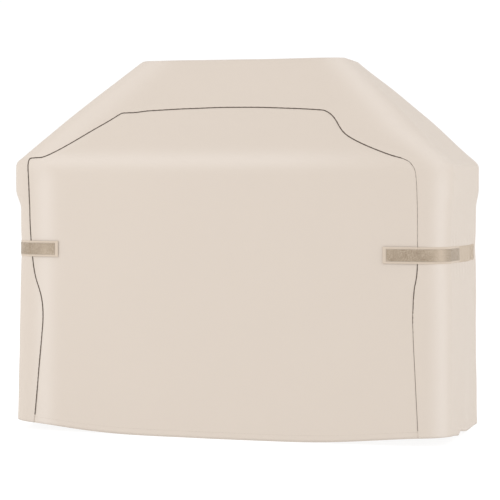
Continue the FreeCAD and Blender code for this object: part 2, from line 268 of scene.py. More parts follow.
def spline(values):
    """A smooth Catmull-Rom curve through rows of values, with SPLINE_STEPS steps between each two."""
    rows = np.array(values, float)
    padded = np.vstack([2 * rows[0] - rows[1], rows, 2 * rows[-1] - rows[-2]])
    t = np.linspace(0, 1, SPLINE_STEPS, endpoint=False)[:, None]
    pieces = []
    for i in range(len(rows) - 1):
        a, b, c, d = padded[i:i + 4]
        pieces.append(0.5 * (2 * b + (c - a) * t + (2 * a - 5 * b + 4 * c - d) * t ** 2
                             + (3 * b - a - 3 * c + d) * t ** 3))
    return np.vstack(pieces + [rows[-1:]])


def along(points):
    """Distance travelled along a line of points."""
    steps = np.linalg.norm(np.diff(points, axis=0), axis=1)
    return np.concatenate([[0], np.cumsum(steps)])


def between(wanted, travelled, rows):
    """Rows of points interpolated at wanted distances along their line."""
    return stacked(*(np.interp(wanted, travelled, column) for column in rows.T))


def resample(rows, shares):
    """Rows at given shares of a line's length, measured on its first two columns."""
    travelled = along(rows[:, :2])
    return between(np.asarray(shares) * travelled[-1], travelled, rows)


def graded(count, fine_start=True):
    """count + 1 shares from 0 to 1, closer together at the end and, if asked, at the start."""
    finest, growth = 0.12, 1.28
    ramp = np.minimum(1, finest * growth ** np.arange(count))
    steps = ramp[::-1]
    if fine_start:
        steps = np.minimum(steps, ramp)
    return np.concatenate([[0], np.cumsum(steps)]) / steps.sum()


SIDE_ROWS = 130
TOP_ROWS = 184
ACROSS_ROWS = 80

SEAM_CURVE = spline(SEAM)
SEAM_LINE = resample(SEAM_CURVE, np.linspace(0, 1, 900))[:, :2]
LEFT_EDGE = resample(SEAM_CURVE[:LEFT_CORNER * SPLINE_STEPS + 1], graded(SIDE_ROWS, fine_start=False))
TOP_EDGE = resample(SEAM_CURVE[LEFT_CORNER * SPLINE_STEPS:RIGHT_CORNER * SPLINE_STEPS + 1], graded(TOP_ROWS))
RIGHT_EDGE = resample(SEAM_CURVE[RIGHT_CORNER * SPLINE_STEPS:][::-1], graded(SIDE_ROWS, fine_start=False))
WRAP_EDGE = np.vstack([LEFT_EDGE, TOP_EDGE[1:], RIGHT_EDGE[::-1][1:]])


def seam_distance(p):
    """Distance from points to the seam, seen from the front."""
    flat = p.reshape(-1, 3)[:, [0, 2]]
    best = np.full(len(flat), 1.0)
    for start in range(0, len(flat), 4000):
        chunk = flat[start:start + 4000]
        gaps = chunk[:, None, :] - SEAM_LINE[None, :, :]
        best[start:start + 4000] = np.sqrt((gaps ** 2).sum(-1).min(1))
    return best.reshape(p.shape[:-1])


# -------------------- how the cloth lies

def waves(p, seed, count, longest, shortest):
    """A sum of gentle waves in seeded directions, between about -1 and 1."""
    rng = np.random.default_rng(seed)
    total = np.zeros(p.shape[:-1])
    for _ in range(count):
        direction = unit(rng.normal(size=3))
        length = rng.uniform(shortest, longest)
        total += np.sin(2 * math.pi * (p @ direction) / length + rng.uniform(0, 2 * math.pi))
    return total / math.sqrt(count)


def settle(p, above):
    """How far the cloth stands off the plain form along its normal."""
    x, y, z = p[..., 0], p[..., 1], p[..., 2]
    rise = 0.0011 * waves(p, 3, 7, 0.75, 0.30)
    rise += 0.0004 * waves(p, 5, 8, 0.22, 0.10)
    # The free cloth near the hem hangs in long shallow folds.
    hang = np.clip(1 - above / 0.42, 0, 1) ** 1.6
    rise += 0.0022 * hang * waves(p * np.array([1, 1, 0.25]), 11, 6, 0.42, 0.20)
    # The hood's front and back slopes sag a little between their edges; its hips and side slopes bow out.
    hood = smooth_step(z, SHOULDER_HEIGHT + 0.02, SHOULDER_HEIGHT + 0.14)
    hood = hood * smooth_step(TOP_HEIGHT - z, 0.015, 0.12)
    side_slope, front_slope = slope_distances(x, y, z)
    to_side = smooth_step(side_slope - front_slope, -0.11, -0.01)
    rise += hood * (to_side * np.where(x < 0, LEFT_HIP_BOW, RIGHT_HIP_BOW) - (1 - to_side) * SAG)
    # Each strap pulls the sides and corners in, with short puckers above and below it.
    near_strap = smooth_step(np.abs(x), 0.50, 0.66)
    from_strap = z - STRAP_HEIGHT - np.where(x < 0, LEFT_STRAP_RAISE, 0)
    rise -= STRAP_PULL * near_strap * np.exp(-(from_strap / 0.060) ** 2)
    turn = np.arctan2(np.abs(x), -y)
    pucker = np.sin(2 * math.pi * (np.abs(y) + 0.6 * np.abs(x)) / PUCKER_LENGTH + 1.3 * turn)
    rise += PUCKER_RISE * near_strap * pucker * np.exp(-((np.abs(from_strap) - 0.045) / 0.030) ** 2)
    # The cloth dips into the seam between two soft ridges.
    gap = seam_distance(p)
    rise -= SEAM_DIP * np.exp(-(gap / 0.0032) ** 2)
    rise += SEAM_RIDGE * np.exp(-((gap - 0.009) / 0.005) ** 2)
    # The folded hem is thicker, and its stitches pull it flat.
    rise += HEM_BULK * (1 - smooth_step(above, HEM_FOLD - 0.001, HEM_FOLD + 0.003))
    rise -= HEM_STITCH_DIP * np.exp(-((above - HEM_STITCH_HEIGHT) / 0.0016) ** 2)
    return rise


def line_distance(p, start, end):
    """Distance from points to a straight edge, with the left and right sides and the front and back alike."""
    folded = stacked(np.abs(p[..., 0]), np.abs(p[..., 1]), p[..., 2])
    start, end = np.array(start, float), np.array(end, float)
    way = end - start
    share = np.clip(((folded - start) @ way) / (way @ way), 0, 1)
    return np.linalg.norm(folded - start - share[..., None] * way, axis=-1)


# The highlight bands painted into the cloth's colour, each with its spread to either side and its strength.
# Two stand upright: the right corner's, half way round its turn, and one on the left of the front. One
# follows the crease above the shoulders. The hips' lie inside the hip edges, on the right further in towards
# the top.
CORNER_BAND_SPREAD = 0.42
LEFT_BAND_X = -0.608
LEFT_BAND = (0.034, 0.8)
CREASE_BAND_RISE = 0.007
CREASE_BAND = (0.027, 0.75)
LEFT_HIP_INSET = 0.100
LEFT_HIP_BAND = (0.046, 0.55)
RIGHT_HIP_INSET = 0.034
RIGHT_HIP_INSET_GROWTH = 0.038
RIGHT_HIP_BAND = (0.038, 0.85)


def band(distance, spread, strength=1.0):
    """A band's strength on its middle line, falling away smoothly on both sides."""
    return strength * np.exp(-(distance / spread) ** 2)


def paleness(p):
    """The strength of the highlight painted into the cloth's colour over the form's edges, from 0 to 1."""
    x, y, z = p[..., 0], p[..., 1], p[..., 2]
    off_sides = np.abs(y) > 0.2
    corner_x, corner_y = HEM_HALF_WIDTH - CORNER_RADIUS, HEM_HALF_DEPTH - CORNER_RADIUS
    turn = np.arctan2(x - corner_x, np.abs(y) - corner_y)
    on_corner = np.clip(x - corner_x + 0.05, 0, 0.02) / 0.02
    right = on_corner * band(turn - math.pi / 4, CORNER_BAND_SPREAD)
    left = band(x - LEFT_BAND_X, *LEFT_BAND) * off_sides
    crease = band(z - SHOULDER_HEIGHT - CREASE_BAND_RISE, *CREASE_BAND)
    crease = crease * off_sides * (1 - 0.85 * smooth_step(x, 0.15, 0.62)) * smooth_step(x, -0.70, -0.60)
    climb = smooth_step(z, SHOULDER_HEIGHT - 0.02, SHOULDER_HEIGHT + 0.12)
    inset = np.where(x < 0, LEFT_HIP_INSET, RIGHT_HIP_INSET + RIGHT_HIP_INSET_GROWTH * climb)
    hip = line_distance(p + np.sign(x)[..., None] * inset[..., None] * np.array([1, 0, 0]),
                        (SHOULDER_HALF_WIDTH, SHOULDER_HALF_DEPTH - 0.010, SHOULDER_HEIGHT),
                        (TOP_HALF_WIDTH + 0.045, TOP_HALF_DEPTH, TOP_HEIGHT))
    hips = np.where(x < 0, band(hip, *LEFT_HIP_BAND), band(hip, *RIGHT_HIP_BAND))
    hood = smooth_step(z, SHOULDER_HEIGHT - 0.08, SHOULDER_HEIGHT + 0.02)
    bands = np.maximum(right, left) * (1 - hood) + hips * hood
    return np.clip(np.maximum(bands, crease), 0, 1)


def cloth_points(origin, direction):
    """The settled cloth where rays meet it, with its normals and its height above the hem."""
    flat, above = cast_level(origin, direction)
    normal = outward(flat)
    return flat + normal * settle(flat, above)[..., None], normal, above


# -------------------- ways over the cloth

def cast_line(origin, direction):
    """A line of points on the settled cloth, with its normals."""
    points, normal, _ = cloth_points(np.asarray(origin, float), np.asarray(direction, float))
    return points, normal


def hem_ring(above, step):
    """A closed line round the cover at a height above the hem, evenly spaced: points and normals.

    Its rays leave a line along X from -reach to reach, forwards and back, and turn round the line's ends.
    """
    reach, half, count = 0.60, math.pi / 2, 240
    straight = np.linspace(-reach, reach, count, endpoint=False)
    turn = np.linspace(-half, half, count, endpoint=False)
    ones, nothing = np.ones(count), np.zeros(count)
    stretches = (
        (straight, nothing, -ones),
        (reach * ones, np.cos(turn), np.sin(turn)),
        (-straight, nothing, ones),
        (-reach * ones, -np.cos(turn), -np.sin(turn)),
    )
    rays = [np.concatenate(parts) for parts in zip(*stretches)]

    def origins_and_ways(start_x, way_x, way_y):
        return stacked(start_x, 0.0, above), stacked(way_x, way_y, 0.0)

    line, _ = cast_level(*origins_and_ways(*rays))
    closed = np.vstack([line, line[:1]])
    travelled = along(closed)
    count = int(travelled[-1] / step)
    wanted = np.arange(count) * travelled[-1] / count
    evened = [np.interp(wanted, travelled, np.append(part, part[0])) for part in rays]
    return cast_line(*origins_and_ways(*evened))


def seam_way(facing, step, low):
    """The seam above the height low, on the front (facing -1) or back (facing 1).

    Gives its points, the cloth's normals and the directions across the seam.
    """
    count = int(along(SEAM_LINE)[-1] / step)
    line = resample(SEAM_CURVE, np.linspace(0, 1, count))[:, :2]
    line = line[line[:, 1] >= low]
    origin = stacked(line[:, 0], 0.0, line[:, 1])
    points, normal = cast_line(origin, np.broadcast_to([0.0, facing, 0.0], origin.shape))
    return points, normal, np.cross(unit(np.gradient(points, axis=0)), normal)


def strap_way_at_y(y):
    """A strap's way where it lies on the side, at y."""
    return STRAP_CORNER_Y - y


def strap_way_at_x(x):
    """The same on the front, at the distance x from the middle."""
    return STRAP_CORNER_LENGTH + STRAP_CORNER_X - abs(x)


def strap_cloth(side, way, up):
    """Points and normals of the settled cloth under a strap, which drops a little towards its anchor."""
    way, up = np.broadcast_arrays(np.asarray(way, float), np.asarray(up, float))
    turn = np.clip(way / STRAP_CORNER_LENGTH, 0, 1) * math.pi / 2
    x = STRAP_CORNER_X - np.clip(way - STRAP_CORNER_LENGTH, 0, None)
    y = STRAP_CORNER_Y + np.clip(-way, 0, None)
    drop = STRAP_DROP * smooth_step(-way, -STRAP_CORNER_LENGTH / 2, 0.35)
    raised = LEFT_STRAP_RAISE if side < 0 else 0
    origin = stacked(side * x, y, STRAP_HEIGHT + raised + up - drop)
    return cast_line(origin, stacked(side * np.cos(turn), -np.sin(turn), 0.0))


# -------------------- mesh helpers

def new_mesh(name, vertices, faces, uv=None):
    """A smooth-shaded mesh object from an array or lists of faces; uv has a pair for each vertex."""
    mesh = bpy.data.meshes.new(name)
    faces = faces.tolist() if isinstance(faces, np.ndarray) else faces
    mesh.from_pydata(np.asarray(vertices).reshape(-1, 3).tolist(), [], faces)
    mesh.update()
    mesh.polygons.foreach_set("use_smooth", [True] * len(mesh.polygons))
    if uv is not None:
        layer = mesh.uv_layers.new(name="UVMap")
        corner_vertices = np.empty(len(mesh.loops), dtype=np.int64)
        mesh.loops.foreach_get("vertex_index", corner_vertices)
        layer.data.foreach_set("uv", np.asarray(uv, float).reshape(-1, 2)[corner_vertices].ravel())
    piece = bpy.data.objects.new(name, mesh)
    bpy.context.scene.collection.objects.link(piece)
    return piece


def grid_faces(rows, columns, flip=False, close_rows=False, close_columns=False):
    """Quads of a grid of rows by columns points."""
    index = np.arange(rows * columns).reshape(rows, columns)
    if close_rows:
        index = np.vstack([index, index[:1]])
    if close_columns:
        index = np.hstack([index, index[:, :1]])
    a, b, c, d = index[:-1, :-1], index[:-1, 1:], index[1:, 1:], index[1:, :-1]
    quads = np.stack([a, b, c, d], axis=-1).reshape(-1, 4)
    return quads[:, ::-1] if flip else quads


def thicken(piece, thickness):
    """Gives a sheet its thickness, inwards, and its inner side the second material slot."""
    solid = piece.modifiers.new("thickness", "SOLIDIFY")
    solid.thickness = thickness
    solid.offset = -1
    solid.material_offset = 1
    solid.use_rim = True
    graph = bpy.context.evaluated_depsgraph_get()
    made = bpy.data.meshes.new_from_object(piece.evaluated_get(graph))
    piece.modifiers.clear()
    piece.data = made


def hand_over(piece, material, body, slot, *nodes):
    """Sets a piece's material, what it rides on (None if it rides on nothing) and what it replaces; its slot
    is not used.
    """
    piece.data.materials.append(material)
    if body is not None:
        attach(piece, body)
    if nodes:
        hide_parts(*nodes)


# -------------------- cloth panels

def panel_plan():
    """The front panel's grid seen from the front: a patch filled in from its four edges."""
    across = graded(TOP_ROWS)[None, :, None]
    up = graded(SIDE_ROWS, fine_start=False)[:, None, None]
    left, right, top = LEFT_EDGE[:, None, :2], RIGHT_EDGE[:, None, :2], TOP_EDGE[None, :, :2]
    bottom = left[:1] + (right[:1] - left[:1]) * across
    corners = ((1 - across) * (1 - up) * left[:1] + across * (1 - up) * right[:1]
               + (1 - across) * up * left[-1:] + across * up * right[-1:])
    return (1 - across) * left + across * right + (1 - up) * bottom + up * top - corners


def make_panel(name, facing):
    """The front (facing -1) or back (facing 1) panel."""
    plan = panel_plan()
    origin = stacked(plan[..., 0], 0.0, plan[..., 1])
    points, _, _ = cloth_points(origin, np.broadcast_to([0.0, facing, 0.0], origin.shape))
    lean = math.hypot(TOP_HEIGHT - SHOULDER_HEIGHT, SHOULDER_HALF_DEPTH - TOP_HALF_DEPTH)
    stretch = lean / (TOP_HEIGHT - SHOULDER_HEIGHT)
    height = plan[..., 1]
    on_hood = np.maximum(height - SHOULDER_HEIGHT, 0)
    unrolled = np.minimum(height, SHOULDER_HEIGHT) + on_hood * stretch
    uv = stacked(plan[..., 0], unrolled)
    rows, columns = points.shape[:2]
    return new_mesh(name, points, grid_faces(rows, columns, flip=facing > 0), uv)


def make_wrap():
    """The strip that runs up the left side, over the hood and down the right side, from seam to seam."""
    rays = WRAP_EDGE[:, 2] * math.pi / 180
    start = stacked(WRAP_EDGE[:, 0], 0.0, WRAP_EDGE[:, 1])
    shares = graded(ACROSS_ROWS)

    def directions(turn):
        level, upright = np.cos(rays)[:, None], np.sin(rays)[:, None]
        return stacked(level * np.cos(turn), np.sin(turn), upright * np.cos(turn))

    # Trial rays find each line's length across, so that its points can be spread along it by the shares.
    trial = np.linspace(-math.pi / 2, math.pi / 2, 161)
    trial_origin = np.broadcast_to(start[:, None, :], (len(rays), len(trial), 3))
    trial_points = cast(trial_origin, directions(trial[None, :]))
    turn = np.empty((len(rays), len(shares)))
    for row, line in enumerate(trial_points):
        travelled = along(line)
        turn[row] = np.interp(shares * travelled[-1], travelled, trial)
    origin = np.broadcast_to(start[:, None, :], turn.shape + (3,))
    points, _, _ = cloth_points(origin, directions(turn))
    middle = len(shares) // 2
    up = along(points[:, middle])
    across = np.stack([along(line) for line in points])
    across -= across[:, middle:middle + 1]
    uv = stacked(across, up[:, None])
    return new_mesh("wrap_cloth", points, grid_faces(*points.shape[:2]), uv)


def mark_painted_highlight(piece, share=1.0):
    """Stores the painted highlight on the piece, or a share of it, for its material to read."""
    places = np.empty(len(piece.data.vertices) * 3)
    piece.data.vertices.foreach_get("co", places)
    layer = piece.data.attributes.new("paleness", "FLOAT", "POINT")
    layer.data.foreach_set("value", share * paleness(places.reshape(-1, 3)))


def make_cloth():
    """The three panels, each with its coated inner side."""
    front = make_panel("front_cloth", -1)
    back = make_panel("back_cloth", 1)
    wrap = make_wrap()
    for piece, node, flat in (
        (front, "front_panel", (1.31, 1.10)),
        (back, "back_panel", (1.31, 1.10)),
        (wrap, "wrap_panel", (0.98, 3.55)),
    ):
        thicken(piece, CLOTH_THICK)
        # Paints a highlight into the cloth's colour along the form's edges.
        mark_painted_highlight(piece)
        hand_over(piece, outer_cloth, "cover", "cloth", node)
        piece.data.materials.append(inner_cloth)


# -------------------- trims

def with_edges(low, high, count, edge=0.0005):
    """Evenly spaced values with one more close to each end, where a slab's edge is rounded."""
    values = np.linspace(low, high, count)
    nudge = math.copysign(edge, high - low)
    return np.concatenate([values[:1], [low + nudge], values[1:-1], [high - nudge], values[-1:]])


def slab(name, points, normal, low, high, uv, mirrored=False):
    """A thin solid over a grid of cloth points, from low to high above them, with rounded edges."""
    rows, columns = points.shape[:2]
    low = np.broadcast_to(low, (rows, columns))
    full = np.broadcast_to(high, (rows, columns))
    high = low + (full - low) * 0.45
    high[1:-1, 1:-1] = full[1:-1, 1:-1]
    top = points + normal * high[..., None]
    bottom = points + normal * low[..., None]
    flip = not mirrored
    faces = [grid_faces(rows, columns, flip), grid_faces(rows, columns, not flip) + rows * columns]
    index = np.arange(rows * columns).reshape(rows, columns)
    for rim, turned in ((index[:, 0], False), (index[:, -1], True), (index[0], True), (index[-1], False)):
        below = rim + rows * columns
        quads = np.stack([rim[:-1], rim[1:], below[1:], below[:-1]], axis=-1)
        faces.append(quads[:, ::-1] if turned != flip else quads)
    return new_mesh(name, np.concatenate([top.reshape(-1, 3), bottom.reshape(-1, 3)]), np.concatenate(faces),
                    np.concatenate([uv.reshape(-1, 2)] * 2))


def strap_slab(name, side, way, up, low, high):
    """A slab that lies along a strap's way."""
    way_grid, up_grid = np.meshgrid(way, up, indexing="ij")
    points, normal = strap_cloth(side, way_grid, up_grid)
    uv = stacked(up_grid, way_grid)
    return slab(name, points, normal, low, high, uv, mirrored=side < 0)


def stitches(name, line, normal, pitch, lift=0.0004):
    """A row of stitches along a line: short rounded threads whose ends dip into the cloth."""
    travelled = along(line)
    count = max(1, int(travelled[-1] / pitch))
    centres = (np.arange(count) + 0.5) * travelled[-1] / count
    radius = np.array([0.45, 0.9, 1.0, 0.9, 0.45]) * STITCH_THICK / 2
    rise = np.array([-0.5, 0.6, 1.0, 0.6, -0.5]) * lift
    where = centres[:, None] + np.linspace(-STITCH_LENGTH / 2, STITCH_LENGTH / 2, 5)
    middle = between(where, travelled, line)
    up = unit(between(where, travelled, normal))
    forward = unit(middle[:, -1] - middle[:, 0])
    across = np.cross(np.broadcast_to(forward[:, None], up.shape), up)
    turn = np.arange(6) * math.pi / 3
    ring = middle[:, :, None] + up[:, :, None] * rise[None, :, None, None]
    ring = ring + across[:, :, None] * (radius[:, None] * np.cos(turn))[None, :, :, None]
    ring = ring + up[:, :, None] * (radius[:, None] * np.sin(turn))[None, :, :, None]
    one = grid_faces(5, 6, flip=True, close_columns=True)
    size = 5 * 6
    faces = (one[None] + size * np.arange(count)[:, None, None]).reshape(-1, 4).tolist()
    for first in range(0, size * count, size):
        faces.append([first + i for i in range(6)])
        faces.append([first + size - 1 - i for i in range(6)])
    return new_mesh(name, ring, faces)


def joined(name, *pieces):
    """Pieces joined to one, under a new name."""
    with bpy.context.temp_override(active_object=pieces[0], selected_editable_objects=list(pieces)):
        bpy.ops.object.join()
    pieces[0].name = name
    return pieces[0]


def seam_cord(name, facing):
    """The corded binding that stands in the seam, coloured near black to paint the shadow in the seam's
    groove.
    """
    points, normal, across = seam_way(facing, 0.003, low=HEM_FOLD)
    sides = 12
    turn = np.linspace(0, 2 * math.pi, sides, endpoint=False)
    # It sinks between the ridges on the right, most above the strap, where the seam is pulled straight.
    height = points[:, 2]
    above_strap = smooth_step(height, STRAP_HEIGHT, STRAP_HEIGHT + 0.04)
    near_hem = 0.65 * (1 - smooth_step(height, 0.30, 0.50))
    pulled = smooth_step(points[:, 0], 0.55, 0.62) * np.maximum(above_strap, near_hem)
    wide = SEAM_WIDTH / 2 * np.cos(turn)
    high = CORD_LEVEL + CORD_HALF_HEIGHT * np.sin(turn) - CORD_SINK * pulled[:, None]
    ring = points[:, None] + across[:, None] * wide[None, :, None] + normal[:, None] * high[..., None]
    rows = len(points)
    faces = grid_faces(rows, sides, close_columns=True).tolist()
    faces.append(list(range(sides))[::-1])
    faces.append([sides * (rows - 1) + i for i in range(sides)])
    return new_mesh(name, ring, faces)


def seam_topstitch(name, facing):
    """A row of stitches beside the seam, on the wrap panel's side."""
    points, normal, across = seam_way(facing, 0.003, low=HEM_FOLD)
    outer = across * (-1 if across[0, 0] > 0 else 1)
    line = points + outer * TOPSTITCH_GAP + normal * 0.0010
    return stitches(name, line, normal, pitch=0.0046, lift=0.0003)


def seam_tape(name, facing):
    """The flat tape that covers the seam's raw edges inside."""
    points, normal, across = seam_way(facing, 0.006, low=HEM_FOLD + 0.028)
    width = with_edges(-SEAM_TAPE_WIDTH / 2, SEAM_TAPE_WIDTH / 2, 6)
    grid = points[:, None] + across[:, None] * width[None, :, None]
    up = np.broadcast_to(normal[:, None], grid.shape)
    uv = stacked(along(points)[:, None], width)
    return slab(name, grid, up, *SEAM_TAPE_LEVELS, uv)


def hem_fold(name):
    """The hem's turned-up inner layer, rolled over the cloth's lower edge.

    Its closed section is given by how far each point lies outside the cloth and above the hem.
    """
    section = (
        (0.0001, -0.0003), (-0.0005, -0.0010), (-0.0022, -0.0012), (-0.0030, -0.0002), (-0.0031, 0.0060),
        (-0.0030, 0.0180), (-0.0029, HEM_FOLD - 0.0006), (-0.0024, HEM_FOLD), (-0.0017, HEM_FOLD - 0.0006),
        (-0.0015, 0.0180), (-0.0015, 0.0060), (-0.0014, 0.0006), (-0.0004, 0.0004),
    )
    ring_height = 0.001
    points, normal = hem_ring(ring_height, 0.008)
    up = np.array([0, 0, 1.0])
    level_normal = unit(normal * np.array([1, 1, 0]))
    rings = [points + level_normal * out + up * (rise - ring_height) for out, rise in section]
    grid = np.stack(rings, axis=1)
    rows, columns = grid.shape[:2]
    uv = stacked(along(points)[:, None], [rise for _, rise in section])
    faces = grid_faces(rows, columns, flip=True, close_rows=True, close_columns=True)
    return new_mesh(name, grid, faces, uv)


def hem_thread(name):
    """The stitches that hold the hem's fold."""
    points, normal = hem_ring(HEM_STITCH_HEIGHT, 0.004)
    closed = np.vstack([points, points[:1]])
    return stitches(name, closed, np.vstack([normal, normal[:1]]), pitch=0.0048)


# -------------------- straps

# Levels of the undersides and tops of the flat pieces, and the places of the rough tape and its stitches.
ANCHOR_LEVELS = (0.0002, 0.0020)
ANCHOR_THREAD_LEVEL = 0.0022
BACKING_LEVELS = (-0.0030, -0.0018)
TAIL_LEVELS = (0.0006, 0.0022)
HOOK_LEVELS = (0.0016, 0.0027)
LOOP_LEVELS = (-0.0002, 0.0012)
BAND_LEVEL_ON_SIDE = 0.0010
BAND_LIFT_AT_FRONT = 0.0016
BAND_LIFT_X = 0.640
TAPE_GAP_BEHIND = 0.006
TAPE_STITCH_INSET = 0.0018
TAPE_STITCH_EDGE = 0.0014
# Shares of the cloth's painted highlight that lighten the rough tape on each side.
LEFT_TAPE_HIGHLIGHT_SHARE = 0.25
RIGHT_TAPE_HIGHLIGHT_SHARE = 0.52


def half_up(node):
    """Half of a strap node's height."""
    low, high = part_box(node)
    return (high.z - low.z) / 2


def ways_on_side(node):
    """Where a node on the side starts and ends along its strap's way."""
    low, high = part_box(node)
    return strap_way_at_y(high.y), strap_way_at_y(low.y)


def ways_on_front(node):
    """Where a node on the front starts and ends along its strap's way."""
    near, far = sorted(abs(corner.x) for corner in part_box(node))
    return strap_way_at_x(far), strap_way_at_x(near)


def strap_thread(name, side, routes, height, pitch):
    """Stitches along routes of (way, up) corners on a strap, at a height above the cloth for each way."""
    runs = []
    for route in routes:
        for (way_a, up_a), (way_b, up_b) in zip(route[:-1], route[1:]):
            count = max(4, int(math.hypot(way_b - way_a, up_b - up_a) / 0.003))
            way = np.linspace(way_a, way_b, count)
            points, normal = strap_cloth(side, way, np.linspace(up_a, up_b, count))
            runs.append(stitches(f"{name}_run", points + normal * height(way)[:, None], normal, pitch))
    return joined(name, *runs)


def strap_patch(name, side, node, ways, counts, low, high):
    """A flat piece as large as a strap's node, whose ways on the strap are given."""
    half = half_up(node)
    return strap_slab(name, side, with_edges(*ways, counts[0]), with_edges(-half, half, counts[1]), low, high)


def pile(counts, depth, seed):
    """The uneven top of a matted pile, for as many points as with_edges makes of the counts."""
    rng = np.random.default_rng(seed)
    rough = rng.uniform(-1, 1, (counts[0] + 2, counts[1] + 2))
    soft = (rough + np.roll(rough, 1, 0) + np.roll(rough, 1, 1) + np.roll(rough, (1, 1), (0, 1))) / 4
    return depth * (0.5 * rough + soft)


def blend_at_tip(piece):
    """Bakes a piece's transform into its mesh."""
    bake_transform(piece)


def make_anchor(prefix, side):
    """Where a strap is sewn to the cover's side: the strap's end, its box of stitches and a patch inside."""
    node = f"{prefix}_strap_anchor"
    back, front = ways_on_side(node)
    anchor = strap_patch(f"{prefix}_anchor", side, node, (back, front), (40, 30), *ANCHOR_LEVELS)
    hand_over(anchor, webbing, "cover", "webbing", node)

    inset = 0.006
    a, b = back + inset, front - inset
    top = half_up(node) - inset
    box_and_diagonal = [(a, -top), (a, top), (b, top), (b, -top), (a, -top), (b, top)]
    other_diagonal = [(a, top), (b, -top)]
    thread = strap_thread(f"{prefix}_anchor_thread", side, [box_and_diagonal, other_diagonal],
                          lambda way: ANCHOR_THREAD_LEVEL + 0 * way, 0.0042)
    hand_over(thread, tan_thread, "cover", "thread", f"{prefix}_anchor_stitching")

    node = f"{prefix}_anchor_backing"
    backing = strap_patch(f"{prefix}_backing", side, node, ways_on_side(node), (24, 18), *BACKING_LEVELS)
    hand_over(backing, inner_tape, "cover", "webbing", node)


def make_strap(prefix, side):
    """The strap: a smooth tail from the anchor, and a cloth band round the corner with rough tape on it."""
    _, way_tip = ways_on_front(f"{prefix}_strap_tip")
    tape_back, _ = ways_on_side(f"{prefix}_wrap_tape")
    _, tape_front = ways_on_front(f"{prefix}_tip_tape")
    way_lift = strap_way_at_x(BAND_LIFT_X)

    def lifted(way):
        """The band lies close to the cloth on the side, and stands on its fastening at the front."""
        return BAND_LEVEL_ON_SIDE + BAND_LIFT_AT_FRONT * smooth_step(way, way_lift - 0.05, way_lift)

    hinge_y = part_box(f"{prefix}_strap_wrap")[1].y
    half = half_up(f"{prefix}_strap_tip")
    up = with_edges(-half, half, 30)
    way = with_edges(strap_way_at_y(hinge_y + 0.010), tape_back + 0.005, 90)
    tail = strap_slab(f"{prefix}_strap_tail", side, way, up, *TAIL_LEVELS)
    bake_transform(tail)
    hand_over(tail, webbing, None, "webbing", f"{prefix}_strap_wrap")

    way = with_edges(tape_back, way_tip, 150)
    under = lifted(way)[:, None]
    band_piece = strap_slab(f"{prefix}_strap_band", side, way, up, under, under + STRAP_THICK)
    blend_at_tip(band_piece)
    hand_over(band_piece, strap_cloth_finish, None, "cloth", f"{prefix}_strap_tip")

    half = half_up(f"{prefix}_tip_tape")
    counts = (370, 40)
    up = with_edges(-half, half, counts[1], edge=0.0004)
    tape_back += TAPE_GAP_BEHIND
    way = with_edges(tape_back, tape_front, counts[0], edge=0.0004)
    under = lifted(way)[:, None] + STRAP_THICK - 0.0002
    top = under + TAPE_THICK + 0.0002 + pile(counts, 0.00028, 21 + side)
    tape = strap_slab(f"{prefix}_rough_tape", side, way, up, under, top)
    # Lightens the rough tape with a share of the painted highlight.
    mark_painted_highlight(tape, RIGHT_TAPE_HIGHLIGHT_SHARE if side > 0 else LEFT_TAPE_HIGHLIGHT_SHARE)
    blend_at_tip(tape)
    hand_over(tape, rough_tape, None, "rough_tape", f"{prefix}_wrap_tape", f"{prefix}_tip_tape")

    edge = half - TAPE_STITCH_EDGE
    start, end = tape_back + TAPE_STITCH_INSET, tape_front - TAPE_STITCH_INSET
    corners = [(start, -edge), (start, edge), (end, edge), (end, -edge), (start, -edge)]
    thread = strap_thread(f"{prefix}_tape_thread", side, [corners],
                          lambda way: lifted(way) + STRAP_THICK + TAPE_THICK + 0.0002, 0.0040)
    blend_at_tip(thread)
    hand_over(thread, pale_thread, None, "thread", f"{prefix}_tape_stitching")


def make_fastening(prefix, side):
    """Hooks under the strap's tip, and the loop patch on the cover that they hold to."""
    node, counts = f"{prefix}_hook_tape", (78, 40)
    under, top = HOOK_LEVELS
    under = under + pile(counts, 0.0001, 31)
    hooks = strap_patch(f"{prefix}_hooks", side, node, ways_on_front(node), counts, under, top)
    hand_over(hooks, hook_tape, f"{prefix}_strap_tip_end", "hook_tape", node)

    node, counts = f"{prefix}_landing_patch", (86, 46)
    under, top = LOOP_LEVELS
    top = top + pile(counts, 0.0002, 41)
    patch = strap_patch(f"{prefix}_loop_patch", side, node, ways_on_front(node), counts, under, top)
    hand_over(patch, loop_tape, "cover", "loop_tape", node)


def make_trims():
    """The seams' cords, stitches and tapes, and the hem's fold and stitches."""
    for name, facing in (("front", -1), ("back", 1)):
        cord = seam_cord(f"{name}_seam_cord", facing)
        # The cord's near-black colour is the seam groove's shadow, painted.
        hand_over(cord, groove_shadow_binding, "cover", "binding", f"{name}_seam_binding")
        topstitch = seam_topstitch(f"{name}_topstitch", facing)
        hand_over(topstitch, pale_thread, "cover", "thread")
        tape = seam_tape(f"{name}_inner_tape", facing)
        hand_over(tape, inner_tape, "cover", "seam_tape", f"{name}_seam_tape")
    fold = hem_fold("hem_fold")
    hand_over(fold, outer_cloth, "cover", "cloth", "hem_band")
    thread = hem_thread("hem_thread")
    hand_over(thread, tan_thread, "cover", "thread", "hem_stitching")


# -------------------- materials

def node_maker(material):
    """A function that adds a node with its inputs set, each from a value or another node's socket.

    Inputs are named with _ for a space, or by their number after a _.
    """
    tree = material.node_tree

    def add(kind, properties=None, **inputs):
        node = tree.nodes.new(kind)
        for name, value in (properties or {}).items():
            setattr(node, name, value)
        for name, value in inputs.items():
            key = int(name[1:]) if name[0] == "_" and name[1:].isdigit() else name.replace("_", " ")
            if isinstance(value, bpy.types.NodeSocket):
                tree.links.new(value, node.inputs[key])
            else:
                node.inputs[key].default_value = value
        return node

    return add


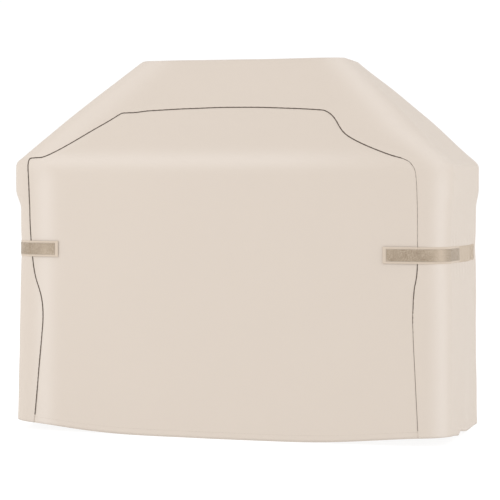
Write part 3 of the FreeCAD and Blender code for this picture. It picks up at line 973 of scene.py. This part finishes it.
def new_material(name):
    material = bpy.data.materials.new(name)
    material.use_nodes = True
    material.node_tree.nodes.clear()
    return material, node_maker(material)


def math_node(add, operation, first, second=0.0):
    return add("ShaderNodeMath", {"operation": operation}, _0=first, _1=second).outputs[0]


def weighted(add, *terms):
    """A sum of values, each given with its weight."""
    total = None
    for value, weight in terms:
        part = math_node(add, "MULTIPLY", value, weight)
        total = part if total is None else math_node(add, "ADD", total, part)
    return total


def opaque(tint):
    """A colour with its alpha."""
    return tuple(tint) + (1.0,)


def shaded(tint, factor):
    """A colour made darker or lighter, with its alpha."""
    return opaque(min(1, part * factor) for part in tint)


def mix_colour(add, share, first, second):
    return add("ShaderNodeMix", {"data_type": "RGBA"}, _0=share, _6=first, _7=second).outputs[2]


def noise(add, place, scale, detail=2.0, roughness=0.5):
    return add("ShaderNodeTexNoise", Vector=place, Scale=scale, Detail=detail, Roughness=roughness).outputs[0]


def weave_height(add, coordinates, pitch):
    """The height of a plain weave: threads along both directions, over and under in turn."""
    split = add("ShaderNodeSeparateXYZ", _0=coordinates)
    ridges, cells = [], []
    for axis in range(2):
        turned = math_node(add, "MULTIPLY", split.outputs[axis], math.pi / pitch)
        ridges.append(math_node(add, "ABSOLUTE", math_node(add, "SINE", turned)))
        cells.append(math_node(add, "COSINE", turned))
    over = math_node(add, "GREATER_THAN", math_node(add, "MULTIPLY", *cells), 0.0)
    first = math_node(add, "MULTIPLY", ridges[0], over)
    second = math_node(add, "MULTIPLY", ridges[1], math_node(add, "SUBTRACT", 1.0, over))
    return math_node(add, "ADD", first, second)


def finish_material(add, base, roughness, height, bump, sheen=0.0, specular=0.4, distance=0.0004):
    """Joins a colour, a roughness and a height to one surface shader."""
    rise = add("ShaderNodeBump", Strength=bump, Distance=distance, Height=height)
    shader = add("ShaderNodeBsdfPrincipled", Base_Color=base, Roughness=roughness, Normal=rise.outputs[0],
                 Sheen_Weight=sheen, Sheen_Roughness=0.5, Specular_IOR_Level=specular)
    add("ShaderNodeOutputMaterial", Surface=shader.outputs[0])


def lighten_by_painted_highlight(add, base, painted_highlight_tint):
    """The base colour, turned towards the painted highlight's tint, if there is one, where the highlight is
    painted.
    """
    if painted_highlight_tint is None:
        return base
    # The share of the painted highlight, stored on the piece.
    stretched_uv_and_highlight_share = add("ShaderNodeAttribute", {"attribute_name": "paleness"}).outputs["Fac"]
    return mix_colour(add, stretched_uv_and_highlight_share, base, opaque(painted_highlight_tint))


def cloth_material(name, tint, roughness, sheen, mottle, painted_highlight_tint=None, bump=0.35):
    """Coated cloth with a fine plain weave, slubs in the threads and a faint unevenness of colour.

    Shade is painted into the weave's hollows, and a highlight where the piece stores one and a tint is given.
    """
    material, add = new_material(name)
    coordinates = add("ShaderNodeTexCoord").outputs["UV"]
    height = weave_height(add, coordinates, CLOTH_WEAVE)
    stretched_uv_and_highlight_share = add("ShaderNodeMapping", Vector=coordinates, Scale=(900.0, 60.0, 1.0)).outputs[0]
    slub = noise(add, stretched_uv_and_highlight_share, 1.0)
    place = add("ShaderNodeTexCoord").outputs["Object"]
    broad = noise(add, place, 2.2, detail=3.0, roughness=0.55)
    fine = noise(add, place, 55.0, detail=3.0)
    spread = weighted(add, (broad, 0.65), (fine, 0.20), (slub, 0.15))
    base = mix_colour(add, spread, shaded(tint, 1 - mottle), shaded(tint, 1 + mottle))
    base = lighten_by_painted_highlight(add, base, painted_highlight_tint)
    # Painted shade: darker where the weave is low, in its hollows.
    weave_hollow_shade = math_node(add, "MULTIPLY", math_node(add, "SUBTRACT", 1.0, height), 0.10)
    base = mix_colour(add, weave_hollow_shade, base, shaded(tint, 0.72))
    rough = math_node(add, "ADD", roughness - 0.05, math_node(add, "MULTIPLY", fine, 0.10))
    full_height = math_node(add, "ADD", height, math_node(add, "MULTIPLY", slub, 0.5))
    finish_material(add, base, rough, full_height, bump, sheen=sheen)
    return material


def pile_material(name, dark, light, scale, bump, painted_highlight_tint=None):
    """Hook-and-loop tape: a matted pile, speckled dark and light, and lightened where a highlight is painted.
    """
    material, add = new_material(name)
    place = add("ShaderNodeTexCoord").outputs["Object"]
    speck = noise(add, place, scale, detail=4.0, roughness=0.7)
    tuft = add("ShaderNodeTexVoronoi", Vector=place, Scale=scale * 2.2).outputs[0]
    patch = noise(add, place, scale * 0.12)
    mixed = weighted(add, (speck, 0.8), (patch, 0.2))
    ramp = add("ShaderNodeMapRange", Value=mixed, From_Min=0.40, From_Max=0.60)
    base = lighten_by_painted_highlight(add, mix_colour(add, ramp.outputs[0], opaque(dark), opaque(light)), painted_highlight_tint)
    height = math_node(add, "ADD", speck, math_node(add, "MULTIPLY", tuft, -0.6))
    finish_material(add, base, 0.92, height, bump, sheen=0.25, specular=0.15, distance=0.0012)
    return material


def webbing_material(name, tint, pitch):
    """Smooth close-woven strap with fine ribs across it, and shade painted into the weave's hollows."""
    material, add = new_material(name)
    coordinates = add("ShaderNodeTexCoord").outputs["UV"]
    height = weave_height(add, coordinates, pitch)
    grain = noise(add, coordinates, 220.0, detail=3.0)
    dark = shaded(tint, 0.88)
    # Painted shade: darker where the weave is low, in its hollows.
    weave_hollow_shade = math_node(add, "MULTIPLY", math_node(add, "SUBTRACT", 1.0, height), 0.5)
    base = mix_colour(add, weave_hollow_shade, opaque(tint), dark)
    base = mix_colour(add, math_node(add, "MULTIPLY", grain, 0.25), base, dark)
    finish_material(add, base, 0.62, height, 0.5, sheen=0.1)
    return material


def thread_material(name, tint):
    """Twisted thread."""
    material, add = new_material(name)
    place = add("ShaderNodeTexCoord").outputs["Object"]
    twist = add("ShaderNodeTexWave", Vector=place, Scale=900.0, Distortion=1.0).outputs[1]
    base = mix_colour(add, math_node(add, "MULTIPLY", twist, 0.5), opaque(tint), shaded(tint, 0.7))
    finish_material(add, base, 0.55, twist, 0.3)
    return material


# -------------------- the studio

def make_floor():
    """A wide pale floor that glows a little, so that it runs into the white of the surroundings."""
    size = 30.0
    corners = [(-size, -size, 0), (size, -size, 0), (size, size, 0), (-size, size, 0)]
    piece = new_mesh("floor", corners, [(0, 1, 2, 3)])
    material, add = new_material("floor_paint")
    place = add("ShaderNodeTexCoord").outputs["Object"]
    grain = noise(add, place, 3.0)
    base = mix_colour(add, math_node(add, "MULTIPLY", grain, 0.05), opaque([0.20] * 3), opaque([0.18] * 3))
    shader = add("ShaderNodeBsdfPrincipled", Base_Color=base, Roughness=0.9, Specular_IOR_Level=0.0,
                 Emission_Color=(1, 1, 1, 1), Emission_Strength=0.90)
    add("ShaderNodeOutputMaterial", Surface=shader.outputs[0])
    piece.data.materials.append(material)


def area_light(name, place, target, size, power):
    data = bpy.data.lights.new(name, "AREA")
    data.shape = "RECTANGLE"
    data.size, data.size_y = size
    data.energy = power
    light = bpy.data.objects.new(name, data)
    light.location = place
    light.rotation_euler = (Vector(target) - Vector(place)).to_track_quat("-Z", "Y").to_euler()
    bpy.context.scene.collection.objects.link(light)


def make_lights():
    """White all round, and a soft box on either side of the cover."""
    world = bpy.data.worlds.new("studio")
    bpy.context.scene.world = world
    world.use_nodes = True
    world.node_tree.nodes["Background"].inputs[0].default_value = (1.0, 1.0, 1.0, 1.0)
    world.node_tree.nodes["Background"].inputs[1].default_value = 1.03
    area_light("left_softbox", (-3.2, -3.4, 2.2), (0, 0, 0.6), (1.6, 2.4), 40)
    area_light("right_softbox", (4.2, -1.2, 2.0), (0.3, 0, 0.6), (1.2, 2.4), 22)


def make_camera():
    """A long lens in front of the cover and to its right, at the shoulder's height, tipped slightly down."""
    distance, azimuth, height = 5.99, math.radians(16.45), 0.858
    tip, pan = math.radians(-2.567), math.radians(-0.0385)
    data = bpy.data.cameras.new("camera")
    data.sensor_width = 36.0
    data.lens = 128.8
    camera = bpy.data.objects.new("camera", data)
    camera.location = (distance * math.sin(azimuth), -distance * math.cos(azimuth), height)
    camera.rotation_euler = (math.pi / 2 + tip, 0.0, azimuth + pan)
    bpy.context.scene.collection.objects.link(camera)
    bpy.context.scene.camera = camera


# -------------------- assembly

# The outer cloth's second tint is the highlight painted along the cover's edges.
outer_cloth = cloth_material("outer_cloth", (0.630, 0.552, 0.480), roughness=0.72, sheen=0.10, mottle=0.02,
                             painted_highlight_tint=(0.696, 0.623, 0.558))
strap_cloth_finish = cloth_material("strap_cloth", (0.600, 0.505, 0.412), roughness=0.75, sheen=0.10,
                                    mottle=0.03)
inner_cloth = cloth_material("inner_coating", (0.52, 0.47, 0.42), roughness=0.45, sheen=0.0, mottle=0.04,
                             bump=0.15)
# Near black: the seam groove's shadow painted into the binding's colour.
groove_shadow_binding = webbing_material("groove_shadow_binding", (0.080, 0.055, 0.038), 0.0008)
webbing = webbing_material("smooth_webbing", (0.515, 0.412, 0.308), 0.0013)
inner_tape = webbing_material("inner_tape", (0.42, 0.37, 0.32), 0.0010)
# The rough tape's third tint is its painted highlight.
rough_tape = pile_material("rough_tape", (0.29, 0.225, 0.16), (0.49, 0.40, 0.31), scale=420.0, bump=0.8,
                           painted_highlight_tint=(0.675, 0.565, 0.453))
hook_tape = pile_material("hook_tape", (0.30, 0.25, 0.20), (0.44, 0.38, 0.32), scale=900.0, bump=0.6)
loop_tape = pile_material("loop_tape", (0.42, 0.36, 0.30), (0.58, 0.51, 0.44), scale=500.0, bump=0.7)
pale_thread = thread_material("pale_thread", (0.60, 0.53, 0.45))
tan_thread = thread_material("tan_thread", (0.50, 0.43, 0.36))

make_cloth()
make_trims()
for prefix, side in (("left", -1), ("right", 1)):
    make_anchor(prefix, side)
    make_strap(prefix, side)
    make_fastening(prefix, side)
make_floor()
make_lights()
make_camera()
bpy.context.scene.view_settings.view_transform = "Standard"
